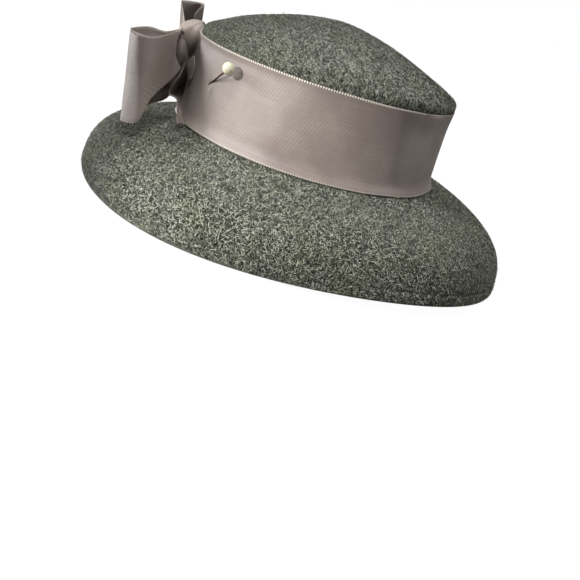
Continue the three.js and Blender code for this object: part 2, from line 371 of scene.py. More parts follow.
def handled_ground(tree, in_mm, cloud):
    """The ribbon's own colour: handling has left it cloudy, pinker in some places and greyer in others."""
    fresh = node(
        tree, "ShaderNodeMix", {0: cloud, 6: srgb("#8e817b"), 7: srgb("#ab9e94")}, data_type="RGBA"
    ).outputs[2]
    stain = node(tree, "ShaderNodeTexNoise", {"Vector": in_mm, "Scale": 0.022, "Detail": 4.0})
    stained = node(
        tree,
        "ShaderNodeMapRange",
        {"Value": stain.outputs["Fac"], "From Min": 0.42, "From Max": 0.6, "To Max": 0.7},
    ).outputs[0]
    ground = node(tree, "ShaderNodeMix", {0: stained, 6: fresh, 7: srgb("#84756f")}, data_type="RGBA")
    return ground.outputs[2]


def picot_colour(tree, along, across):
    """The picots are bare weft, paler, with painted shadow between them. On the lower edge they are blended
    most of the way towards a flat mid taupe, so that they show less.
    """
    phase = node(tree, "ShaderNodeMath", {0: along, 1: 2 * math.pi}, operation="MULTIPLY").outputs[0]
    wave = node(tree, "ShaderNodeMath", {0: phase}, operation="COSINE").outputs[0]
    picot = node(tree, "ShaderNodeMapRange", {"Value": wave, "From Min": -0.7, "From Max": 0.3}).outputs[0]
    # The dark colour between the picots is painted shadow.
    picots_with_shadow = node(
        tree, "ShaderNodeMix", {0: picot, 6: srgb("#5f534a"), 7: srgb("#ebe2d4")}, data_type="RGBA"
    ).outputs[2]
    # On the lower edge the picots are blended towards a flat mid taupe.
    lower_edge_blend = node(
        tree, "ShaderNodeMapRange", {"Value": across, "From Min": 0.49, "From Max": 0.51, "To Max": 0.6}
    ).outputs[0]
    colour = node(tree, "ShaderNodeMix", {0: lower_edge_blend, 6: picots_with_shadow, 7: srgb("#a99d92")}, data_type="RGBA")
    return colour.outputs[2]


def grosgrain_material():
    """Grosgrain ribbon: a fine silky warp over thick weft, so ribs cross it and light slides along them."""
    material, tree = new_material("taupe grosgrain ribbon")
    weave = node(tree, "ShaderNodeUVMap", uv_map="ribbon").outputs[0]  # in picots along, in widths across
    split = node(tree, "ShaderNodeSeparateXYZ", {0: weave})
    along, across = split.outputs["X"], split.outputs["Y"]
    place = node(tree, "ShaderNodeTexCoord").outputs["Object"]
    in_mm = node(tree, "ShaderNodeMapping", {"Vector": place, "Scale": (1000, 1000, 1000)}).outputs[0]

    # Two ribs to a picot are 0.8 mm apart. Between them lies a groove, painted darker as shade, and each
    # thread is a little uneven.
    phase = node(tree, "ShaderNodeMath", {0: along, 1: 2 * math.pi * RIBS_PER_PICOT}, operation="MULTIPLY")
    rib = node(tree, "ShaderNodeMath", {0: phase.outputs[0]}, operation="COSINE").outputs[0]
    groove_shade = node(
        tree,
        "ShaderNodeMapRange",
        {"Value": rib, "From Min": -1.0, "From Max": 0.0, "To Min": 0.18, "To Max": 0.0},
    ).outputs[0]
    slub = node(tree, "ShaderNodeTexNoise", {"Vector": in_mm, "Scale": 1.1, "Detail": 3.0}).outputs["Fac"]
    thread = node(
        tree, "ShaderNodeMapRange", {"Value": slub, "From Min": 0.3, "From Max": 0.7, "To Max": 0.2}
    ).outputs[0]
    cloud = node(tree, "ShaderNodeTexNoise", {"Vector": in_mm, "Scale": 0.05, "Detail": 3.0}).outputs["Fac"]

    water = watered_lines(tree, along, across, cloud)
    # lustre is painted sheen: the watered lines and the warp streaks make the colour darker and lighter.
    lustre = node(tree, "ShaderNodeMath", {0: water, 1: warp_streaks(tree, weave)}).outputs[0]
    # shade darkens the colour towards #5d534e: painted shade in the grooves and painted sheen of the lustre,
    # with the threads' own uneven tone.
    shade = node(tree, "ShaderNodeMath", {0: groove_shade, 1: thread}).outputs[0]
    shade = node(tree, "ShaderNodeMath", {0: shade, 1: lustre}, use_clamp=True).outputs[0]
    ground = handled_ground(tree, in_mm, cloud)
    ribbed = node(
        tree, "ShaderNodeMix", {0: shade, 6: ground, 7: srgb("#5d534e")}, data_type="RGBA"
    ).outputs[2]

    off_middle = node(tree, "ShaderNodeMath", {0: across, 1: 0.5}, operation="SUBTRACT").outputs[0]
    from_middle = node(tree, "ShaderNodeMath", {0: off_middle}, operation="ABSOLUTE").outputs[0]
    edge = node(
        tree,
        "ShaderNodeMapRange",
        {"Value": from_middle, "From Min": PICOT_ZONE[0], "From Max": PICOT_ZONE[1]},
    ).outputs[0]
    picots = picot_colour(tree, along, across)
    colour = node(tree, "ShaderNodeMix", {0: edge, 6: ribbed, 7: picots}, data_type="RGBA").outputs[2]

    height = node(tree, "ShaderNodeMath", {0: slub, 1: 0.5, 2: rib}, operation="MULTIPLY_ADD").outputs[0]
    bump = node(tree, "ShaderNodeBump", {"Height": height, "Strength": 0.35, "Distance": 0.0001}).outputs[0]
    shader = node(
        tree,
        "ShaderNodeBsdfPrincipled",
        {
            "Base Color": colour,
            "Roughness": 0.52,
            "Specular IOR Level": 0.65,
            "Sheen Weight": 0.1,
            "Sheen Roughness": 0.5,
            "Normal": bump,
        },
    )
    node(tree, "ShaderNodeOutputMaterial", {"Surface": shader.outputs[0]})
    return material


def pearl_material():
    """Imitation pearl: a cream bead dipped in pearl lacquer, with a soft glow under a clear gloss."""
    material, tree = new_material("cream imitation pearl")
    # Painted shade: the colour goes from pale cream where the surface faces the camera to a darker yellow
    # towards its outline.
    rim = node(tree, "ShaderNodeLayerWeight", {"Blend": 0.35}).outputs["Facing"]
    colour = node(
        tree, "ShaderNodeMix", {0: rim, 6: srgb("#f6f1d4"), 7: srgb("#d8cfae")}, data_type="RGBA"
    ).outputs[2]
    place = node(tree, "ShaderNodeTexCoord").outputs["Object"]
    cloud = node(tree, "ShaderNodeTexNoise", {"Vector": place, "Scale": 400.0, "Detail": 2.0}).outputs["Fac"]
    bump = node(tree, "ShaderNodeBump", {"Height": cloud, "Strength": 0.1, "Distance": 0.0002}).outputs[0]
    shader = node(
        tree,
        "ShaderNodeBsdfPrincipled",
        {
            "Base Color": colour,
            "Roughness": 0.3,
            "IOR": 1.53,
            "Coat Weight": 0.6,
            "Coat Roughness": 0.08,
            "Subsurface Weight": 0.2,
            "Subsurface Radius": (0.002, 0.0016, 0.001),
            "Normal": bump,
        },
    )
    node(tree, "ShaderNodeOutputMaterial", {"Surface": shader.outputs[0]})
    return material


def pin_material():
    """Drawn steel pin wire, browned with age: smooth along its length and dark."""
    material, tree = new_material("browned steel wire")
    place = node(tree, "ShaderNodeTexCoord").outputs["Object"]
    stain = node(tree, "ShaderNodeTexNoise", {"Vector": place, "Scale": 900.0, "Detail": 2.0}).outputs["Fac"]
    colour = node(
        tree, "ShaderNodeMix", {0: stain, 6: srgb("#3a2a22"), 7: srgb("#6b5547")}, data_type="RGBA"
    ).outputs[2]
    shader = node(
        tree, "ShaderNodeBsdfPrincipled", {"Base Color": colour, "Metallic": 0.8, "Roughness": 0.4}
    )
    node(tree, "ShaderNodeOutputMaterial", {"Surface": shader.outputs[0]})
    return material


def thread_material(name, shaded_hollow_colour, crest_colour):
    """Spun thread: plies twisted together, dark in the hollows between them as painted shade, with a slight
    lustre.
    """
    material, tree = new_material(name)
    place = node(tree, "ShaderNodeTexCoord").outputs["Object"]
    # Painted shade: a fine noise mixes the thread's colour towards its darker colour for the hollows between
    # the plies.
    ply_shade = node(
        tree, "ShaderNodeTexNoise", {"Vector": place, "Scale": 3000.0, "Detail": 1.0}
    ).outputs["Fac"]
    colour = node(
        tree, "ShaderNodeMix", {0: ply_shade, 6: srgb(shaded_hollow_colour), 7: srgb(crest_colour)}, data_type="RGBA"
    ).outputs[2]
    shader = node(tree, "ShaderNodeBsdfPrincipled", {"Base Color": colour, "Roughness": 0.6})
    node(tree, "ShaderNodeOutputMaterial", {"Surface": shader.outputs[0]})
    return material


# ---- felt ----
def band_half(z):
    """Half width of the band's outside at a height over the head line."""
    return HEAD_HALF_WIDTH * lerp(1, TAPER, z / RIBBON_WIDTH)


def wall_half(z):
    """Half width of the felt wall's outside, under the band."""
    return band_half(z) - RIBBON - GAP


def oval_point(half, angle, z):
    """A point on an oval of the head's proportion, at an angle from the back."""
    return Vector((half * math.sin(angle), half * LONG * math.cos(angle), z))


def at_front(angle):
    """0 at the back and sides, rising to 1 over the hat's front."""
    return smooth(0.1, -0.6, math.cos(angle))


def dome_height(r):
    """Height of the dome over the head line, at a half width from its middle."""
    return DOME_FOOT + DOME_RISE * (1 - (r / band_half(RIBBON_WIDTH)) ** DOME_POWER)


def crown_profile():
    """Half width and height of each ring, from the foot of the wall up to the middle of the dome."""
    wall_heights = (GAP, 14, 28, 42, 50, RIBBON_WIDTH + GAP)
    rings = [(wall_half(z), z) for z in wall_heights]
    bend_middle = band_half(RIBBON_WIDTH) + SHOULDER_PROUD - SHOULDER_RADIUS
    bend_level = RIBBON_WIDTH + SHOULDER_ABOVE
    for degrees in range(-10, 63, 8):
        turn = math.radians(degrees)
        half = bend_middle + SHOULDER_RADIUS * math.cos(turn)
        rings.append((half, bend_level + SHOULDER_RADIUS * math.sin(turn)))
    rim = rings[-1][0]
    dome_rings = 26
    for ring in range(1, dome_rings + 1):
        r = rim * (1 - ring / dome_rings)
        rings.append((r, dome_height(r)))
    return rings


def felt_crown(felt):
    """The crown: felt blocked over an oval dome, with the slight waves that the block leaves."""

    def place(angle, ring):
        half, height = ring
        at_back = smooth(0.5, 0.95, math.cos(angle))
        swelling = FRONT_OVERHANG * at_front(angle) - BACK_SLACK * at_back
        from_swelling = (height - RIBBON_WIDTH - SWELLING_ABOVE) / SWELLING_SPREAD
        overhang = swelling * math.exp(-(from_swelling**2)) if height > RIBBON_WIDTH else 0
        point = CROWN_FRAME @ oval_point(half + overhang, angle, height)
        at_pole = half < 0.5
        if at_pole or height < RIBBON_WIDTH:
            return point
        wave = noise.noise(point * BLOCK_WAVES_PER_MM) * BLOCK_WAVE
        outwards = Vector((point.x, point.y, 60)).normalized()  # slanting at the rim, up in the middle
        return point + outwards * wave

    crown = ring_shell(place, crown_profile(), 144)
    bmesh.ops.remove_doubles(crown, verts=crown.verts, dist=0.01)
    bmesh.ops.recalc_face_normals(crown, faces=crown.faces)
    bmesh.ops.solidify(crown, geom=crown.faces[:], thickness=FELT)
    piece = finish_piece(crown, "felt_crown", felt)
    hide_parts("crown")
    return piece


def edge_height(angle):
    """Height of the brim's edge, which dips at the front and back and lifts at the sides."""
    return EDGE_HEIGHT + sum(lift * math.cos(order * angle) for order, lift in EDGE_WAVES)


class BrimSection:
    """The brim's section at one angle from the back, as distances outwards and up."""

    def __init__(self, angle):
        self.foot = CROWN_FRAME @ oval_point(HEAD_HALF_WIDTH, angle, 0)
        self.inside = CROWN_FRAME @ oval_point(wall_half(0) - FELT, angle, 0)
        edge = Vector((BRIM_HALF_WIDTH * math.sin(angle), BRIM_HALF_LENGTH * math.cos(angle)))
        outwards = edge - self.foot.to_2d()
        self.run = outwards.length
        self.outwards = outwards.normalized()
        self.edge = edge_height(angle)
        self.drop = self.foot.z - self.edge
        bulge = BRIM_BULGE - BRIM_FRONT_BULGE * math.cos(angle)
        self.bulge = bulge / math.hypot(self.run, self.drop)
        self.turn_under = self.solve(lambda t: self.edge + HEM_CENTRE - self.sunk(t, FELT).y, 0.8, 1.1)
        self.stitch = self.inwards_from_edge(STITCH_LINE)
        self.hem_top = self.inwards_from_edge(HEM_DEPTH)

    def solve(self, rising, low, high):
        """Where a rising function passes zero, by halving."""
        for _ in range(30):
            half = (low + high) / 2
            low, high = (half, high) if rising(half) < 0 else (low, half)
        return low

    def inwards_from_edge(self, distance):
        """The share t of a point that lies this far inwards from the edge."""
        end = self.top(self.turn_under)
        return self.solve(lambda t: distance - (self.top(t) - end).length, 0, self.turn_under)

    def top(self, t):
        """A point of the top face, at share t of the way from the head line to the edge."""
        lift = self.bulge * 4 * t * (1 - t) * (1 + BRIM_SKEW * (2 * t - 1))
        return Vector((self.run * t + self.drop * lift, self.edge + self.drop * (1 - t) + self.run * lift))

    def normal(self, t):
        along = (self.top(t + 0.01) - self.top(t - 0.01)).normalized()
        return Vector((-along.y, along.x))

    def sunk(self, t, depth):
        """A point this deep under the top face."""
        return self.top(t) - self.normal(t) * depth

    def stitched(self, t):
        """The top face with the hem padded out and the row of stitches drawn in."""
        away = (self.top(t) - self.top(self.stitch)).length
        furrow = STITCH_SINK * math.exp(-((away / STITCH_FURROW) ** 2))
        pad = HEM_PAD * smooth(self.stitch, lerp(self.stitch, self.turn_under, 0.3), t)
        return self.sunk(t, furrow - pad)

    def world(self, point):
        """A section point, in millimetres from the middle of the brim."""
        flat = self.foot.to_2d() + self.outwards * point.x
        return Vector((flat.x, flat.y, point.y))

    def outline(self):
        """Closed section: the top outwards, round the hem, and back under to the head line."""
        points = [self.inside]
        top_steps, hem_steps, bend_steps, under_steps = 26, 14, 12, 12
        for i in range(top_steps):
            points.append(self.world(self.top(self.hem_top * i / top_steps)))
        for i in range(hem_steps):
            points.append(self.world(self.stitched(lerp(self.hem_top, self.turn_under, i / hem_steps))))
        centre = self.sunk(self.turn_under, FELT)
        start = self.normal(self.turn_under)
        start_angle = math.atan2(start.y, start.x)
        for i in range(bend_steps + 1):
            turn = start_angle - math.pi * i / bend_steps
            reach = FELT + HEM_PAD * (1 - i / bend_steps)
            bend = centre + Vector((math.cos(turn), math.sin(turn))) * reach
            bend.y = max(0, bend.y)  # flat on the floor where the hat stands
            points.append(self.world(bend))
        for share in (0.25, 0.5, 0.75, 0.95):  # of the turned-under felt's width
            points.append(self.world(self.sunk(lerp(self.turn_under, self.hem_top, share), 2 * FELT)))
        for layers in (1.9, 1.45, 1.05):  # its cut edge, in thicknesses of felt
            points.append(self.world(self.sunk(self.hem_top, layers * FELT)))
        for i in range(under_steps):
            points.append(self.world(self.sunk(self.hem_top * (1 - i / under_steps), FELT)))
        points.append(self.inside - Vector((0, 0, FELT)))
        return points


def felt_brim(felt):
    """The brim: felt pulled down all round, its edge turned under and stitched once."""
    outlines = {}

    def place(angle, index):
        key = round(angle, 4)
        if key not in outlines:
            outlines[key] = BrimSection(angle).outline()
        return outlines[key][index % len(outlines[key])]

    count = len(BrimSection(0).outline())
    brim = ring_shell(place, range(count + 1), 180)
    bmesh.ops.remove_doubles(brim, verts=brim.verts, dist=0.001)
    piece = finish_piece(brim, "felt_brim", felt)
    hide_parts("brim")
    return piece


def stitches(thread):
    """One row of stitches round the brim, drawn down into the felt."""
    steps = 720
    row = []
    for i in range(steps + 1):
        section = BrimSection(2 * math.pi * i / steps)
        row.append(section.world(section.stitched(section.stitch)))
    run = [0.0]
    for start, end in zip(row, row[1:]):
        run.append(run[-1] + (end - start).length)
    count = round(run[-1] / STITCH_PITCH)
    mesh = bmesh.new()
    for i in range(count):
        ends = []
        for share in (0, STITCH_SHARE):
            wanted = run[-1] * (i + share) / count
            k = next(j for j in range(steps) if run[j + 1] >= wanted)
            ends.append(row[k].lerp(row[k + 1], (wanted - run[k]) / (run[k + 1] - run[k])))
        middle = (ends[0] + ends[1]) / 2
        turn = (ends[1] - ends[0]).to_track_quat("Z", "X").to_matrix().to_4x4()
        made = bmesh.ops.create_cone(
            mesh,
            cap_ends=True,
            segments=6,
            radius1=THREAD_RADIUS,
            radius2=THREAD_RADIUS,
            depth=(ends[1] - ends[0]).length,
            matrix=Matrix.Translation(middle + Vector((0, 0, THREAD_RADIUS))) @ turn,
        )
        for vert in made["verts"]:
            away = (vert.co - middle).length / (STITCH_PITCH * STITCH_SHARE / 2)
            vert.co.z -= STITCH_DIVE * smooth(0.8, 1, away)
    piece = finish_piece(mesh, "brim_stitches", thread)
    return piece


# ---- nap ----
COMB = (-0.75, -0.35, -0.55)  # the way that the felt was last brushed
ANY_WAY = 3.1  # radians either side of the comb
NAP_WIDTH = 0.29  # mm: a lock of wool fibres, because one alone is 0.03 mm and would not show
LOCK_SHAPES = ((0.05, 0.3), (0.25, 0.4), (-0.25, 0.3), (0.4, 0.5), (-0.15, 0.65))  # bend, rise off the felt
DOME_SHOWS = (HEAD_LINE + RIBBON_WIDTH) * MM  # height of the band's top
SHAVED_REACH = 0.009  # the nap is shorter where the band rubs it, up to this far over the shaved height
NOT_SHAVED = -1  # lower than any of the felt
FLOOR_CLEAR = 3 * MM


def nap_lock(name, length, width, bend, rise, material):
    """One lock of wool, lying on its back: two thin triangles, bent where they meet, off the felt."""
    half = length / 2 * (1 - 0.1 * abs(bend))
    lock = bmesh.new()
    foot, tip = (lock.verts.new((end * half, length / 4 * bend, 0.05 * end)) for end in (-1, 1))
    left, right = (lock.verts.new((0, side * width / 2, rise)) for side in (-1, 1))
    lock.faces.new((foot, left, right))
    lock.faces.new((tip, right, left))
    bmesh.ops.scale(lock, vec=(MM, MM, MM), verts=lock.verts)
    data = bpy.data.meshes.new(name)
    lock.to_mesh(data)
    lock.free()
    data.materials.append(material)
    return bpy.data.objects.new(name, data)


def socket_in_use(made):
    """The output that is in use, of a node that has one for every kind of value."""
    return next(socket for socket in made.outputs if socket.enabled)


def nap_nodes(locks, density, seed, stray, shaved, darkest):
    """Scatters the locks over a mesh, within a stray angle of the comb's direction, each with its own tone.
    Up to SHAVED_REACH above the shaved height they are shorter. Their tones go from the darkest to 1."""
    tree = bpy.data.node_groups.new("nap", "GeometryNodeTree")
    tree.interface.new_socket("felt", in_out="INPUT", socket_type="NodeSocketGeometry")
    tree.interface.new_socket("nap", in_out="OUTPUT", socket_type="NodeSocketGeometry")
    felt = node(tree, "NodeGroupInput").outputs[0]
    points = node(
        tree, "GeometryNodeDistributePointsOnFaces", {"Mesh": felt, "Density": density, "Seed": seed}
    )
    combed = node(
        tree,
        "FunctionNodeAlignRotationToVector",
        {"Rotation": points.outputs["Rotation"], "Vector": COMB},
        axis="X",
        pivot_axis="Z",
    )
    spin = node(
        tree,
        "FunctionNodeRandomValue",
        {"Min": (-0.1, -0.1, -stray), "Max": (0.1, 0.1, stray), "Seed": seed},
        data_type="FLOAT_VECTOR",
    )
    turned = node(
        tree,
        "FunctionNodeRotateRotation",
        {"Rotation": combed.outputs[0], "Rotate By": spin.outputs["Value"]},
        rotation_space="LOCAL",
    )
    join = node(tree, "GeometryNodeJoinGeometry")
    for lock in locks:
        shape = node(tree, "GeometryNodeObjectInfo", {"Object": lock, "As Instance": True})
        tree.links.new(shape.outputs["Geometry"], join.inputs[0])
    choice = node(
        tree,
        "FunctionNodeRandomValue",
        {"Min": 0, "Max": len(locks) - 1, "Seed": seed + 1},
        data_type="INT",
    )
    grown = node(
        tree, "FunctionNodeRandomValue", {"Min": 0.55, "Max": 1.35, "Seed": seed + 2}, data_type="FLOAT"
    )
    place = node(tree, "GeometryNodeInputPosition").outputs[0]
    height = node(tree, "ShaderNodeSeparateXYZ", {0: place}).outputs["Z"]
    shorter = node(
        tree,
        "ShaderNodeMapRange",
        {
            "Value": height,
            "From Min": shaved,
            "From Max": shaved + SHAVED_REACH,
            "To Min": 0.45,
            "To Max": 1.0,
        },
    ).outputs[0]
    size = node(
        tree, "ShaderNodeMath", {0: socket_in_use(grown), 1: shorter}, operation="MULTIPLY"
    ).outputs[0]
    scattered = node(
        tree,
        "GeometryNodeInstanceOnPoints",
        {
            "Points": points.outputs["Points"],
            "Instance": join.outputs[0],
            "Pick Instance": True,
            "Instance Index": socket_in_use(choice),
            "Rotation": turned.outputs[0],
            "Scale": size,
        },
    )
    tone = node(
        tree, "FunctionNodeRandomValue", {"Min": darkest, "Max": 1.0, "Seed": seed + 3}, data_type="FLOAT"
    )
    toned = node(
        tree,
        "GeometryNodeStoreNamedAttribute",
        {"Geometry": scattered.outputs[0], "Name": "tone", "Value": socket_in_use(tone)},
        data_type="FLOAT",
        domain="INSTANCE",
    )
    real = node(tree, "GeometryNodeRealizeInstances", {"Geometry": toned.outputs[0]})
    node(tree, "NodeGroupOutput", {0: real.outputs[0]})
    return tree


def nap_on(
    felt_piece,
    reaches,
    name,
    material,
    length,
    density,
    seed,
    stray,
    shaved=NOT_SHAVED,
    width=NAP_WIDTH,
    lift=1.0,
    darkest=0.0,
):
    """The nap of one felt piece, as one joined mesh over the faces that reaches() keeps.
    The density is in locks for each square metre. lift multiplies how far the locks rise."""
    ground = bmesh.new()
    ground.from_mesh(felt_piece.data)
    bmesh.ops.delete(ground, geom=[f for f in ground.faces if not reaches(f)], context="FACES")
    data = bpy.data.meshes.new(name)
    ground.to_mesh(data)
    ground.free()
    carrier = bpy.data.objects.new(name + "_ground", data)
    bpy.context.scene.collection.objects.link(carrier)
    locks = [
        nap_lock(f"{name}_lock_{i}", length, width, bend, rise * lift, material)
        for i, (bend, rise) in enumerate(LOCK_SHAPES)
    ]
    scatter = nap_nodes(locks, density, seed, stray, shaved, darkest)
    carrier.modifiers.new("nap", "NODES").node_group = scatter
    settled = carrier.evaluated_get(bpy.context.evaluated_depsgraph_get())
    mesh = bpy.data.meshes.new_from_object(settled)
    mesh.name = name
    piece = bpy.data.objects.new(name, mesh)
    bpy.context.scene.collection.objects.link(piece)
    for spare in [carrier, *locks]:
        bpy.data.objects.remove(spare)
    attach(piece, "root")
    return piece


def on_dome(face):
    """The crown is brushed above the band."""
    return face.calc_center_median().z > DOME_SHOWS and face.normal.z > -0.2


def on_brim_top(face):
    """The brim is brushed from 2 mm outside the band to its edge, but not where it rests on the floor."""
    place = face.calc_center_median()
    from_head = CROWN_FRAME.inverted() @ ((place - HAT_MIDDLE) / MM)
    outside_band = math.hypot(from_head.x, from_head.y / LONG) > HEAD_HALF_WIDTH + 2
    return face.normal.z > -0.1 and outside_band and place.z > FLOOR_CLEAR


def brushed_nap(crown, brim, wool):
    """Loose locks all over: longer and combed one way on the crown, short and every way on the brim."""
    for layer in (1, 2):
        nap_on(
            crown,
            on_dome,
            f"crown_nap_{layer}",
            wool,
            length=4.2,
            density=1500000,
            seed=11 * layer,
            stray=1.1,
            shaved=DOME_SHOWS,
        )
    for layer in (1, 2, 3, 4):
        nap_on(
            brim,
            on_brim_top,
            f"brim_nap_{layer}",
            wool,
            length=2.7,
            density=590000,
            seed=5 * layer,
            stray=ANY_WAY,
        )


def stray_hairs(felt_piece, reaches, name, wool, shaved=NOT_SHAVED):
    """A few long, pale and thin hairs that stand higher than the rest."""
    nap_on(
        felt_piece,
        reaches,
        name,
        wool,
        length=6.5,
        density=60000,
        seed=31,
        stray=ANY_WAY,
        shaved=shaved,
        width=0.2,
        lift=2.6,
        darkest=0.87,
    )


# ---- ribbon ----
def through(points, share):
    """A smooth curve through the points, at a share of the way from the first to the last."""
    place = min(max(share, 0), 1) * (len(points) - 1)
    i = min(int(place), len(points) - 2)
    t = place - i
    before, start, end, after = (points[min(max(i + k, 0), len(points) - 1)] for k in (-1, 0, 1, 2))
    return (
        start * 2
        + (end - before) * t
        + (before * 2 - start * 5 + end * 4 - after) * (t * t)
        + (start * 3 - before - end * 3 + after) * (t * t * t)
    ) * 0.5


def ribbon(name, place, length, rows, material, node_name, picots=(1, 1)):
    """A ribbon laid by place(u, v), u along it and v across it, with a row of picots down each edge.
    picots says how much of each row shows, at v = 0 and at v = 1."""
    loops = round(length / PICOT_PITCH)
    columns = loops * 4
    mesh = bmesh.new()
    bmesh.ops.create_grid(mesh, x_segments=columns, y_segments=rows, size=0.5)
    weave = mesh.loops.layers.uv.new("ribbon")
    for face in mesh.faces:
        for loop in face.loops:
            loop[weave].uv = ((loop.vert.co.x + 0.5) * loops, loop.vert.co.y + 0.5)
    for vert in mesh.verts:
        u, v = vert.co.x + 0.5, vert.co.y + 0.5
        vert.co = place(u, v)
        if v < 0.001 or v > 0.999:
            across = (place(u, min(v + 0.01, 1)) - place(u, max(v - 0.01, 0))).normalized()
            reach = PICOT * abs(math.cos(math.pi * u * loops))
            vert.co += across * (reach * picots[1] if v > 0.5 else -reach * picots[0])
    bmesh.ops.solidify(mesh, geom=mesh.faces[:], thickness=RIBBON_VISIBLE)
    piece = finish_piece(mesh, name, material, recalculate=False)
    if node_name:
        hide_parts(node_name)
    return piece


# ---- band ----
BAND_START = -0.125  # angle from the back, beside the knot
BAND_SWEEP = 2 * math.pi + 0.12
BAND_LAP = 0.9  # its start is lapped over its end
BAND_SUNK = 0.35  # under the solid's face, where it lies on the felt
FOOT_FLARE = 2.2  # the lower edge stands out over the brim
FOOT_FLARE_HEIGHT = 9.0
FOOT_LIFT = 0.8
FOOT_LIFT_HEIGHT = 5.0
TOP_FLARE = 1.0  # the upper edge stands out over the dome's foot
TOP_FLARE_FRONT = 0.2  # but is tucked under the swelling at the front
TOP_FLARE_DEPTH = 3.0
FRONT_FULLNESS = 1.1  # the band follows the swelling at the front
FRONT_FULLNESS_DEPTH = 20.0
EASE = 0.3  # it lies a little loose, more in some places than in others
EASE_VARIES = 0.8
EASE_WAVES_PER_MM = 0.035


def pin_pucker(aside, above):
    """How far out the ribbon is pushed beside the pin, less how far in it is drawn where the pin enters it.
    The distances from the pin are in millimetres."""
    drawn_in = 0.5 * math.exp(-((aside / 2.2) ** 2) - ((above / 3.0) ** 2))
    pushed_out = 0.7 * math.exp(-(((aside + 3.2) / 1.6) ** 2) - (((above + 3.2) / 2.6) ** 2))
    return pushed_out - drawn_in


def band_ribbon(material):
    """The band: pulled round the crown from beside the knot, with its start lapped over its end."""
    pin_angle = math.atan2(PIN_ENTRY.x, PIN_ENTRY.y / LONG)
    mean_radius = 95

    def place(u, v):
        angle = BAND_START - BAND_SWEEP * u
        z = RIBBON_WIDTH * (1 - v)
        front = at_front(angle)
        half = band_half(z) - BAND_SUNK
        half += BAND_LAP * (1 - smooth(0, 0.05, u))
        half += FOOT_FLARE * max(0, 1 - z / FOOT_FLARE_HEIGHT) ** 2
        top_flare = lerp(TOP_FLARE, TOP_FLARE_FRONT, front)
        half += top_flare * smooth(RIBBON_WIDTH - TOP_FLARE_DEPTH, RIBBON_WIDTH, z)
        half += FRONT_FULLNESS * front * smooth(RIBBON_WIDTH - FRONT_FULLNESS_DEPTH, RIBBON_WIDTH, z) ** 2
        half += pin_pucker((angle - pin_angle) * mean_radius, z - PIN_ENTRY.z)
        z += FOOT_LIFT * max(0, 1 - z / FOOT_LIFT_HEIGHT) ** 2
        point = oval_point(half, angle, z)
        ease = noise.noise(Vector((point.x, point.y, 0.6 * z)) * EASE_WAVES_PER_MM)
        return CROWN_FRAME @ oval_point(half + EASE + ease * EASE_VARIES, angle, z)

    length = 2 * math.pi * 94  # round the oval at half height
    piece = ribbon("ribbon_band", place, length, 22, material, "band")
    return piece


# ---- bow ----
def laid_between(rows, fold):
    """place(u, v) for a ribbon between two edges. A row is a point of each edge and, where the ribbon isn't
    straight between them, how far its middle bellies out. fold(u, v) is the ribbon's height off that."""
    upper = [Vector(row[0]) for row in rows]
    lower = [Vector(row[1]) for row in rows]
    belly = [Vector(row[2]) if len(row) > 2 else Vector() for row in rows]

    def straight(u, v):
        return through(upper, u).lerp(through(lower, u), v) + through(belly, u) * (4 * v * (1 - v))

    def place(u, v):
        along = straight(min(u + 0.01, 1), v) - straight(max(u - 0.01, 0), v)
        across = through(lower, u) - through(upper, u)
        return BOW_FRAME @ (straight(u, v) + along.cross(across).normalized() * fold(u, v))

    return place


# Ribbon edges from the middle of the knot: x to the wearer's left, y backwards, z up.
# A row is a place along the ribbon: upper edge, lower edge, belly.
RIGHT_LOOP = (
    ((-5.8, 4.4, 4.3), (-9.0, -1.5, -10.0)),  # front layer at the knot
    ((-11.0, 6.9, 2.6), (-17.0, 1.8, -12.8), (-2.0, -2.0, 0.9)),  # the pleat's crest
    ((-9.2, 7.7, 6.8), (-17.6, 4.6, -14.8), (-3.2, 4.0, 1.0)),  # the valley behind it
    ((-14.4, 5.9, 9.4), (-26.8, 0.4, -14.2), (-1.6, 3.9, -0.9)),  # the edge of the deep fold
    ((-18.1, 9.8, 5.9), (-32.6, 3.4, -21.5)),  # the front layer, spreading
    ((-32.1, 19.0, 0.6), (-49.5, 11.5, -34.2)),
    ((-35.6, 29.5, -0.6), (-60.6, 16.1, -49.8)),
    ((-27.4, 37.7, -0.4), (-55.0, 28.4, -53.8)),  # fold
    ((-18.5, 35.6, 0.5), (-46.5, 22.5, -50.5)),
    ((-12.0, 28.0, 2.6), (-35.4, 15.7, -43.3)),
    ((-11.5, 17.6, 3.3), (-24.0, 4.5, -35.5)),  # the back layer, drawing in
    ((-9.4, 7.4, 8.0), (-6.5, 3.0, -14.0)),  # back layer at the knot
)
LEFT_LOOP = (
    ((9.4, 8.0, 8.0), (9.4, 3.5, -6.0)),  # outer layer at the knot
    ((20.0, 14.0, 16.5), (20.0, 6.5, -21.0)),
    ((34.0, 18.0, 20.5), (33.0, 9.5, -36.0)),
    ((48.0, 17.5, 20.5), (46.0, 9.0, -37.0)),
    ((54.0, 10.5, 21.5), (52.0, 4.0, -36.0)),  # fold
    ((48.0, 3.7, 22.5), (46.0, -2.0, -34.0)),
    ((34.0, 4.5, 20.0), (33.0, 1.5, -33.0)),
    ((20.0, 6.0, 14.5), (20.0, 2.5, -20.0)),
    ((9.4, 5.5, 8.0), (9.4, 0.6, -6.0)),  # inner layer at the knot
)
